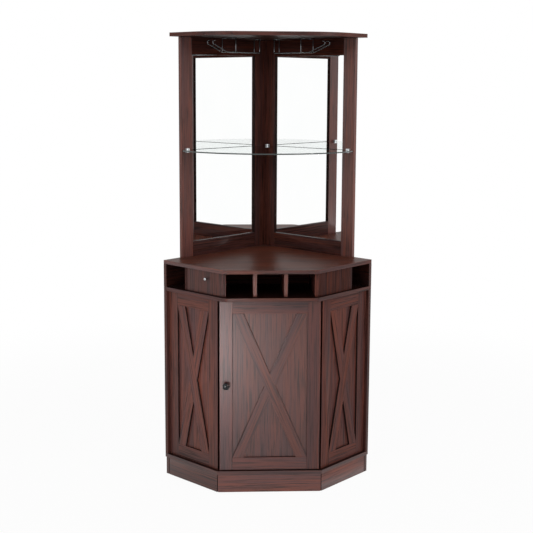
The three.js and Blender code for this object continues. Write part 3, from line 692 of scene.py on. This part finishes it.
class CABINET_OT_sides(bpy.types.Operator):
    """Finishes the slanted sides: backing panels, applied frames and applied braces"""

    bl_idname = "cabinet.sides"
    bl_label = "Slanted sides"

    # Painted light and shade: the two sides' looks differ as lit and shaded copies of one laminate.
    looks = ((1.30, 0.5), (1.42, 0.2))
    frame_shares = (0.82, 0.9)  # the frames' tone over that of the panels and braces

    def execute(self, context):
        # Distances out from the wall, as the level direction measures them from the cabinet's middle.
        low, high = (out - BACK_Y * DIAGONAL for out in SIDE_OPENING)
        for i, (side, (tone, gloss), share) in enumerate(zip(SIDES, self.looks, self.frame_shares)):
            plain(f"side_panel_{side}", UP, tone, 14.0 + i, gloss)
            edge = shaded_cut_edge(f"side_frame_edge_{side}")
            frame_name, brace_name = f"side_frame_{side}", f"side_brace_{side}"
            rails, joints = frame_masks(OUT[side], low, high)
            face = switched_finish(frame_name, rails, UP, OUT[side], tone * share, 16.0 + i, joints, gloss)
            dress(frame_name, [face, edge], self.cut_faces(side))
            arms, grains = brace_arms(OUT[side], low, high), arm_grains(OUT[side], low, high)
            face = switched_finish(brace_name, arms, *grains, tone, 18.0 + i, gloss=gloss)
            dress(brace_name, [face, edge], self.cut_faces(side))
        return {"FINISHED"}

    def cut_faces(self, side):
        """Picks all faces but the front for the cut edge."""
        return lambda normals, centres: ~facing(normals, ALONG[side])


class CABINET_OT_door(bpy.types.Operator):
    """Finishes the door's panel, stiles, rails and brace"""

    bl_idname = "cabinet.door"
    bl_label = "Door"

    # Painted sheen: the door's tone leans to blue, and each board's tone and gloss follow the light from its upper
    # left.
    tone = np.array([1.04, 1.05, 1.10])
    # Each board's grain, the direction of its cut edge, and its tone and gloss, set as painted light.
    boards = {
        "door_stile_left": (UP, (1.0, 0.0, 0.0), (1.10, 0.97, 0.97), 1.2),
        "door_stile_right": (UP, (-1.0, 0.0, 0.0), (1.20, 1.02, 0.93), 0.8),
        "door_rail_top": (ACROSS, DOWN, (1.0, 1.0, 1.0), 0.8),
        "door_rail_bottom": (ACROSS, UP, (1.22, 1.12, 1.10), 1.0),
    }

    def execute(self, context):
        plain("door_panel", UP, self.tone, 21.0, 1.1)
        edge = shaded_cut_edge("door_cut_edge")
        for i, (name, (grain, inward, lit_tone, gloss)) in enumerate(self.boards.items()):
            dress(name, [board_finish(name, grain, self.tone * lit_tone, 22.0 + i, gloss), edge], toward(inward))
        low, high = (corner.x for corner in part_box("door_brace"))
        arms, grains = brace_arms(ACROSS, low, high), arm_grains(ACROSS, low, high)
        face = switched_finish("door_brace", arms, *grains, self.tone * 0.98, 27.0)
        # Painted shade: the arms' cut edges are dark at the door's left and keep the face's laminate at its right.
        dress("door_brace", [face, edge], self.shaded_left_edges((low + high) / 2 + 0.01))
        return {"FINISHED"}

    def shaded_left_edges(self, before):
        # Picks the brace's side faces left of before for the dark finish: painted shade.
        return lambda normals, centres: ~facing(normals, FRONT) & (centres[:, 0] < before)


class CABINET_OT_bottle_row(bpy.types.Operator):
    """Finishes the row of bays: light front bands, and dark faces inside, toned as painted light and shade"""

    bl_idname = "cabinet.bottle_row"
    bl_label = "Bottle row"

    # Painted light and shade: the two upper side panels, and the walls', dividers' and bands' faces, are toned to the
    # light on each.
    panel_looks = ((0.88, 0.55), (0.80, 0.08))
    band_looks = {"wall": (1.05, 0.3), "divider": (1.4, 1.0)}

    def execute(self, context):
        for i, (side, panel_look) in enumerate(zip(SIDES, self.panel_looks)):
            for j, (part, band_look) in enumerate(self.band_looks.items()):
                self.faced(f"bottle_{part}_{side}", "_band", UP, FRONT, (1.5, 0.1), band_look, 30.0 + i + 2 * j, 0.5)
            # Painted shade: the end dividers are darkened.
            self.faced(f"end_divider_{side}", "_band", UP, ALONG[side], (0.6, 0.1), (0.6, 0.15), 38.0 + i, 2.0)
            plain(f"upper_side_panel_{side}", UP, panel_look[0], 42.0 + i, panel_look[1])
            # Painted shade: the wall panels' faces inside the end bays are darkened.
            name = f"upper_wall_panel_{side}"
            self.faced(name, "_inside", ALONG[side], OUT[side], (0.85, 0.5), (0.3, 0.1), 44.0 + i, 2.0)
        plain("bottle_back", ACROSS, 1.0, 48.0, 0.05)
        return {"FINISHED"}

    def faced(self, name, suffix, grain, direction, look, facing_look, seed, seed_step):
        """Dresses a board in one look, with another on the faces that look in the direction."""
        body = board_finish(name, grain, look[0], seed, look[1])
        face = board_finish(name + suffix, grain, facing_look[0], seed + seed_step, facing_look[1])
        dress(name, [body, face], toward(direction))


class CABINET_OT_hutch(bpy.types.Operator):
    """Finishes the mirror frames and the top panel"""

    bl_idname = "cabinet.hutch"
    bl_label = "Hutch"

    # Painted light and shade: the outer stiles take light tones, and the inner stiles and rails dark ones.
    outer_looks = ((1.65, 0.7), (1.55, 1.1))

    def execute(self, context):
        # Painted shade: the top panel's underside is darkened.
        banded("top_panel", (0.40, 0.15), (0.9, 0.5), ((1.12, 0.4), (1.0, 0.3), (1.0, 0.3)), 50.0)
        for i, (side, outer_look) in enumerate(zip(SIDES, self.outer_looks)):
            along, out, up = (np.array(way) for way in (ALONG[side], OUT[side], UP))
            # Painted shade: the narrow faces round each mirror take this nearly black finish.
            edge = board_finish(f"hutch_shaded_edge_{side}", UP, 0.22, 52.0 + i, 0.1)
            upright = board_finish(f"hutch_back_upright_{side}", UP, 0.9, 62.0 + i, 0.4)
            level = board_finish(f"hutch_back_level_{side}", ALONG[side], 0.9, 62.0 + i, 0.4)
            # Each board's grain, the finish of its back, the way its narrow face by the mirror looks, and its look.
            # The inner stiles' and rails' dark tones are painted shade of the hutch's inner corner and of the space
            # under its top.
            boards = {
                "outer_stile": (UP, upright, -along, outer_look),
                "inner_stile": (UP, upright, along, (0.80, 0.15)),
                "top_rail": (ALONG[side], level, -up, (np.array([0.66, 0.54, 0.46]), 0.03)),
                "bottom_rail": (ALONG[side], level, up, (0.76, 0.08)),
            }
            for j, (part, (grain, back, inward, (tone, gloss))) in enumerate(boards.items()):
                name = f"hutch_{part}_{side}"
                face = board_finish(name, grain, tone, 54.0 + 2 * j + i, gloss)
                dress(name, [face, edge, back], self.sorted_faces(inward, -out))
        return {"FINISHED"}

    def sorted_faces(self, inward, backward):
        """1 for the narrow faces round the mirror, darkened as painted shade, 2 for the back and 0 for the others."""
        return lambda normals, centres: facing(normals, inward) + 2 * facing(normals, backward)


class CABINET_OT_mirrors(bpy.types.Operator):
    """Silvers the mirrors and adds a hardboard sheet behind each one"""

    bl_idname = "cabinet.mirrors"
    bl_label = "Mirrors"

    def execute(self, context):
        silver = silvered("mirror_silver")
        fibre = hardboard("mirror_hardboard")
        low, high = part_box("mirror_left")
        clearance = 0.0004
        half_width = (MIRROR_SPAN[1] - MIRROR_SPAN[0]) / 2 - clearance
        half_height = (high.z - low.z) / 2 - clearance
        for side in SIDES:
            dress(f"mirror_{side}", [silver], soft=0.0003)
            sheet = slab(half_width, half_height, low=0.0001, high=0.0009, corner=0.002, soft=0.0002)
            middle = on_wall(side, (sum(MIRROR_SPAN) / 2, 0.0, (low.z + high.z) / 2))
            placed_sheet = carry(sheet, middle, ALONG[side], UP, OUT[side])
            make(f"mirror_sheet_{side}", placed_sheet, fibre, "cabinet")
        return {"FINISHED"}


class CABINET_OT_glass_shelf(bpy.types.Operator):
    """Finishes the glass shelf: clear faces and a deep green polished rim"""

    bl_idname = "cabinet.glass_shelf"
    bl_label = "Glass shelf"

    def execute(self, context):
        looks = [clear_glass("shelf_glass"), glass_rim("shelf_glass_rim")]
        dress("glass_shelf", looks, lambda normals, centres: abs(normals[:, 2]) < 0.5, soft=0.0008)
        return {"FINISHED"}


class CABINET_OT_clamps(bpy.types.Operator):
    """Finishes the three shelf clamps and adds a grip screw under each one"""

    bl_idname = "cabinet.clamps"
    bl_label = "Shelf clamps"

    head_height = 0.0012

    def execute(self, context):
        hardware = context.scene.cabinet_hardware
        chrome = metal("clamp_chrome", hardware.chrome, 0.30, 0.75)
        steel = metal("clamp_screw_steel", hardware.steel, 0.28)
        for name in ("shelf_clamp_left", "shelf_clamp_right", "shelf_clamp_corner"):
            dress(name, [chrome], soft=0.0009)
            head = screw_under(hardware, spot(name, up=0), self.head_height)
            make(name.replace("shelf_clamp", "clamp_screw"), head, steel, "cabinet")
        return {"FINISHED"}


class CABINET_OT_racks(bpy.types.Operator):
    """Makes the two hanging racks of bent round wire, with their rounded mounting plates and screws"""

    bl_idname = "cabinet.racks"
    bl_label = "Stemware racks"

    # Metres along the wall from the back corner, out from the wall, and up from the floor.
    back, hanger, level_end, tip = 0.173, 0.337, 0.362, 0.442
    lane, lane_half, hanger_half = 0.115, 0.015, 0.038
    level, rod_top = 1.728, 1.7837
    plate_low, plate_high = 1.7827, 1.7847
    plate_half, plate_margin, plate_corner, plate_soft = 0.007, 0.004, 0.004, 0.0005
    curl = ((0.0, 0.030), (0.001, 0.042), (-0.012, 0.044))  # along from the tip, and up from the level run
    screw_places = ((back, 0.0), (hanger, -0.020), (hanger, 0.020))  # along, and aside from the lane's middle
    head_height = 0.0014

    def execute(self, context):
        hardware = context.scene.cabinet_hardware
        # Painted reflection: the wire's chrome is darkened by its colour setting.
        chrome = metal("rack_chrome", hardware.wire, 0.16)
        steel = metal("rack_screw_steel", hardware.steel, 0.28)
        for side in SIDES:
            shape = gather([*self.rails(hardware), *self.hangers(hardware), *self.plates()])
            rack = make(f"stemware_wire_{side}", carry_to_wall(side, shape), chrome, "cabinet")
            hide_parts(f"stemware_rack_{side}")
            heads = carry_to_wall(side, gather(self.screws(hardware)))
            make(f"stemware_screws_{side}", heads, steel, "cabinet")
        return {"FINISHED"}

    def rails(self, hardware):
        """The two rails, from the back plate down, forward, up and round in a curl."""
        for out in (self.lane - self.lane_half, self.lane + self.lane_half):
            corners = [
                (self.back, out, self.rod_top),
                (self.back, out, self.level),
                (self.level_end, out, self.level),
                *((self.tip + along, out, self.level + up) for along, up in self.curl),
            ]
            path = bent_line(corners, hardware.bend)
            yield wire(path, (0.0, 1.0, 0.0), hardware.wire_radius, hardware.wire_sides)

    def hangers(self, hardware):
        """The two rods near the front, each from its rail outwards and up to the front plate."""
        for way in (-1, 1):
            x, rail, out = self.hanger, self.lane + way * self.lane_half, self.lane + way * self.hanger_half
            path = bent_line([(x, rail, self.level), (x, out, self.level), (x, out, self.rod_top)], hardware.bend)
            yield wire(path, (1.0, 0.0, 0.0), hardware.wire_radius, hardware.wire_sides)

    def plates(self):
        for along, half in ((self.back, self.lane_half), (self.hanger, self.hanger_half)):
            size = (self.plate_half, half + self.plate_margin, self.plate_low, self.plate_high)
            plate = slab(*size, self.plate_corner, self.plate_soft)
            yield carry(plate, (along, self.lane, 0.0), ACROSS, (0.0, 1.0, 0.0), UP)

    def screws(self, hardware):
        """One in the middle of the back plate and two in the front plate."""
        for along, aside in self.screw_places:
            yield screw_under(hardware, (along, self.lane + aside, self.plate_low), self.head_height)


class CABINET_OT_knobs(bpy.types.Operator):
    """Makes the door's turned bronze knob and the small domed chrome knob beside the bays"""

    bl_idname = "cabinet.knobs"
    bl_label = "Knobs"

    # Radius and distance out, in millimetres.
    knob_profile = (
        (0, 0.0002), (6.0, 0), (8.9, 0.1), (9.4, 1.0), (8.8, 2.0), (7.0, 3.1), (5.9, 4.8), (5.5, 7.2),
        (5.8, 9.6), (7.2, 11.5), (10.1, 13.4), (12.4, 15.5), (13.6, 17.8), (14.0, 20.2), (13.4, 22.7),
        (11.6, 25.0), (8.7, 26.8), (4.8, 28.0), (0, 28.4),
    )
    small_profile = (
        (0, 0.0002), (2.6, 0), (3.2, 0.3), (3.2, 5.6), (4.0, 6.4), (5.4, 7.2), (6.3, 8.8), (6.4, 10.4),
        (5.7, 12.3), (4.2, 13.7), (2.2, 14.4), (0, 14.6),
    )

    def execute(self, context):
        hardware = context.scene.cabinet_hardware
        shape = carry(self.smooth(self.knob_profile, 56), spot("door_knob", back=1), ACROSS, UP, FRONT)
        knob = make("turned_knob", shape, bronze("knob_bronze", hardware.bronze), "door", 60)
        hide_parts("door_knob")
        foot = on_wall("left", SMALL_KNOB_FOOT)
        shape = carry(self.smooth(self.small_profile, 40), foot, OUT["left"], UP, ALONG["left"])
        chrome = metal("small_knob_chrome", hardware.small_knob, 0.12)
        small_knob = make("domed_knob", shape, chrome, "cabinet", 60)
        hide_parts("towel_knob")
        dress("knob_screw", [metal("knob_screw_steel", hardware.steel, 0.30)], soft=0.0)
        return {"FINISHED"}

    def smooth(self, profile, sides):
        return turned(smooth_line(np.array(profile) / 1000, 4), sides)


class CABINET_OT_catch(bpy.types.Operator):
    """Finishes the pivot pins, the magnetic catch and its strike plate, and adds their screws"""

    bl_idname = "cabinet.catch"
    bl_label = "Pins and catch"

    ears = ((-0.017, -0.0045, 0.0), (0.017, -0.0045, 0.0))  # the screws, from the middle of the catch's back edge
    head_height = 0.0012

    def execute(self, context):
        hardware = context.scene.cabinet_hardware
        steel = metal("pin_steel", hardware.steel, 0.26)
        for name in ("pivot_pin_lower", "pivot_pin_upper"):
            dress(name, [steel], soft=0.0)
        dress("strike_plate", [metal("strike_steel", hardware.steel, 0.34)], soft=0.0003)
        dress("magnetic_catch", [moulded("catch_plastic", hardware.plastic)], soft=0.0006)
        edge = spot("magnetic_catch", back=1, up=0)
        heads = [screw_under(hardware, edge + Vector(ear), self.head_height) for ear in self.ears]
        make("catch_screws", gather(heads), metal("catch_screw_steel", hardware.steel, 0.30), "cabinet")
        flush = screw_head(radius=0.0022, height=0.0002)
        screw = carry(flush, spot("strike_plate", back=1), (-1, 0, 0), UP, (0, 1, 0))
        make("strike_screw", screw, metal("strike_screw_steel", hardware.steel, 0.24), "door")
        return {"FINISHED"}


class CABINET_OT_studio(bpy.types.Operator):
    """Sets up the camera, the white floor, the even sky and the three lamps"""

    bl_idname = "cabinet.studio"
    bl_label = "Studio"

    def execute(self, context):
        studio = context.scene.cabinet_studio
        self.camera(context, studio)
        self.floor(context, studio)
        self.sky(context, studio)
        # Place, aim, size in metres, beam in degrees and power.
        self.lamp(context, "key_light", (-2.3, -3.4, 2.7), (0.0, 0.0, 0.8), 2.0, 180, studio.key)
        self.lamp(context, "front_light", (-0.66, -2.3, 0.20), (-0.22, -0.33, 0.50), 0.35, 28, studio.front)
        self.lamp(context, "fill_light", (2.7, -2.4, 2.3), (0.0, 0.0, 0.9), 1.8, 180, studio.fill)
        context.scene.view_settings.view_transform = "Standard"
        return {"FINISHED"}

    def camera(self, context, studio):
        """The photograph's viewing angle: a long lens, slightly to the left, looking a little down."""
        aside, tilt, roll = (math.radians(angle) for angle in (-2.55, 90 - 8.43, 0.28))
        data = bpy.data.cameras.new("camera")
        data.sensor_width = 36.0
        data.lens = studio.focal * data.sensor_width / 533.0
        data.shift_y = -0.055
        data.clip_start, data.clip_end = 0.05, 60.0
        camera = bpy.data.objects.new("camera", data)
        turn = Matrix.Rotation(aside, 3, "Z") @ Matrix.Rotation(tilt, 3, "X") @ Matrix.Rotation(roll, 3, "Z")
        camera.rotation_euler = turn.to_euler()
        camera.location = (studio.aside, -studio.distance, studio.height)
        context.scene.collection.objects.link(camera)
        context.scene.camera = camera

    def floor(self, context, studio):
        """A level sheet just under the cabinet: the point at radius r and angle a is (r cos a, r sin a, height).
        Rays that should see the white background find most of it glowing, so that only a little of its shading
        shows, and less of it the further out, from 1 to 3 m."""
        rings, sides, inner, outer, height = 12, 64, 0.3, 9.0, -0.0004
        r = np.concatenate([[0], np.geomspace(inner, outer, rings)])[:, None]
        angle = np.linspace(0, 2 * math.pi, sides, endpoint=False)[None]
        grid = np.stack([r * np.cos(angle), r * np.sin(angle), np.full((rings + 1, sides), height)], -1)
        points = np.vstack([grid[:1, 0], grid[1:].reshape(-1, 3)])
        i, j = np.meshgrid(np.arange(rings - 1), np.arange(sides), indexing="ij")
        here, beside = 1 + i * sides + j, 1 + i * sides + (j + 1) % sides
        quads = np.stack([here, here + sides, beside + sides, beside], -1).reshape(-1, 4)
        j = np.arange(sides)
        fans = np.stack([0 * j, 1 + j, 1 + (j + 1) % sides], -1)
        mesh = bpy.data.meshes.new("floor")
        mesh.from_pydata(points.tolist(), [], [*quads.tolist(), *fans.tolist()])
        finish = Finish("floor_paper")
        mottle = finish.noise(finish.place(), (1.3,) * 3, 2.0)
        shade = finish.mix(mottle, toned(studio.floor, 0.985), toned(studio.floor, 1.0))
        paper = finish.node("BsdfDiffuse", {}, {"Color": shade})
        glow = finish.node("Emission", {}, {"Color": (1, 1, 1, 1), "Strength": 1.0})
        distance_squared = finish.vector("DOT_PRODUCT", finish.place(), finish.place())
        far = finish.step(distance_squared, 1.0**2, 3.0**2)
        share = (0.95 + far * 0.05) * (1.0 - self.beneath(finish))
        both = finish.node("MixShader", {}, {0: self.seen(finish) * share, 1: paper, 2: glow})
        finish.node("OutputMaterial", {}, {"Surface": both})
        mesh.materials.append(finish.material)
        floor = bpy.data.objects.new("floor", mesh)
        context.scene.collection.objects.link(floor)

    def beneath(self, finish):
        """1 under the cabinet, inside its plinth: within the square that its two walls span, and behind its front."""
        low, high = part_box("plinth_wall_left")
        margin = 0.002
        half = ((high.x - low.x) / DIAGONAL - BOARD) / 2 - margin
        middle = half + margin - BACK_Y * DIAGONAL
        inside = finish.along((0.0, 1.0, 0.0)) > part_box("plinth_front")[0].y
        for side in SIDES:
            inside = inside * (abs(finish.along(ALONG[side]) - middle) < half)
        return inside

    def seen(self, finish):
        """1 for rays from the camera, and for those reflected by metal or passed by glass."""
        rays = finish.node("LightPath", output="Is Camera Ray")
        glossy = finish.node("LightPath", output="Is Glossy Ray")
        through = finish.node("LightPath", output="Is Transmission Ray")
        return finish.maths("MAXIMUM", rays, finish.maths("MAXIMUM", glossy, through))

    def sky(self, context, studio):
        world = bpy.data.worlds.new("studio")
        finish = Finish("studio", world)
        strength = studio.sky + self.seen(finish) * (1.0 - studio.sky)
        background = finish.node("Background", {}, {"Color": (1, 1, 1, 1), "Strength": strength})
        finish.node("OutputWorld", {}, {"Surface": background})
        context.scene.world = world

    def lamp(self, context, name, place, aim, size, beam, power):
        """A round soft lamp turned to a point, with its beam in degrees."""
        data = bpy.data.lights.new(name, "AREA")
        data.shape, data.size, data.energy = "DISK", size, power
        data.spread = math.radians(beam)
        lamp = bpy.data.objects.new(name, data)
        lamp.visible_camera = False
        lamp.location = place
        lamp.rotation_euler = (Vector(place) - Vector(aim)).to_track_quat("Z", "Y").to_euler()
        context.scene.collection.objects.link(lamp)


class CABINET_PT_workshop(bpy.types.Panel):
    """Lists the cabinet's sizes, colours and steps"""

    bl_idname = "CABINET_PT_workshop"
    bl_label = "Bar cabinet"
    bl_space_type = "VIEW_3D"
    bl_region_type = "UI"
    bl_category = "Bar cabinet"

    def draw(self, context):
        for settings in (context.scene.cabinet_laminate, context.scene.cabinet_hardware, context.scene.cabinet_studio):
            box = self.layout.box()
            for key in type(settings).__annotations__:
                box.prop(settings, key)
        for step in STEPS:
            self.layout.operator(step.bl_idname)


SETTINGS = {
    "cabinet_laminate": LaminateSettings,
    "cabinet_hardware": HardwareSettings,
    "cabinet_studio": StudioSettings,
}
STEPS = (
    CABINET_OT_base,
    CABINET_OT_sides,
    CABINET_OT_door,
    CABINET_OT_bottle_row,
    CABINET_OT_hutch,
    CABINET_OT_mirrors,
    CABINET_OT_glass_shelf,
    CABINET_OT_clamps,
    CABINET_OT_racks,
    CABINET_OT_knobs,
    CABINET_OT_catch,
    CABINET_OT_studio,
)


def register():
    for kind in (*SETTINGS.values(), *STEPS, CABINET_PT_workshop):
        bpy.utils.register_class(kind)
    for name, kind in SETTINGS.items():
        setattr(bpy.types.Scene, name, PointerProperty(type=kind))


def unregister():
    for name in SETTINGS:
        delattr(bpy.types.Scene, name)
    for kind in (CABINET_PT_workshop, *reversed(STEPS), *SETTINGS.values()):
        bpy.utils.unregister_class(kind)


def main():
    register()
    bpy.ops.cabinet.base()
    bpy.ops.cabinet.sides()
    bpy.ops.cabinet.door()
    bpy.ops.cabinet.bottle_row()
    bpy.ops.cabinet.hutch()
    bpy.ops.cabinet.mirrors()
    bpy.ops.cabinet.glass_shelf()
    bpy.ops.cabinet.clamps()
    bpy.ops.cabinet.racks()
    bpy.ops.cabinet.knobs()
    bpy.ops.cabinet.catch()
    bpy.ops.cabinet.studio()


if __name__ == "__main__":
    main()
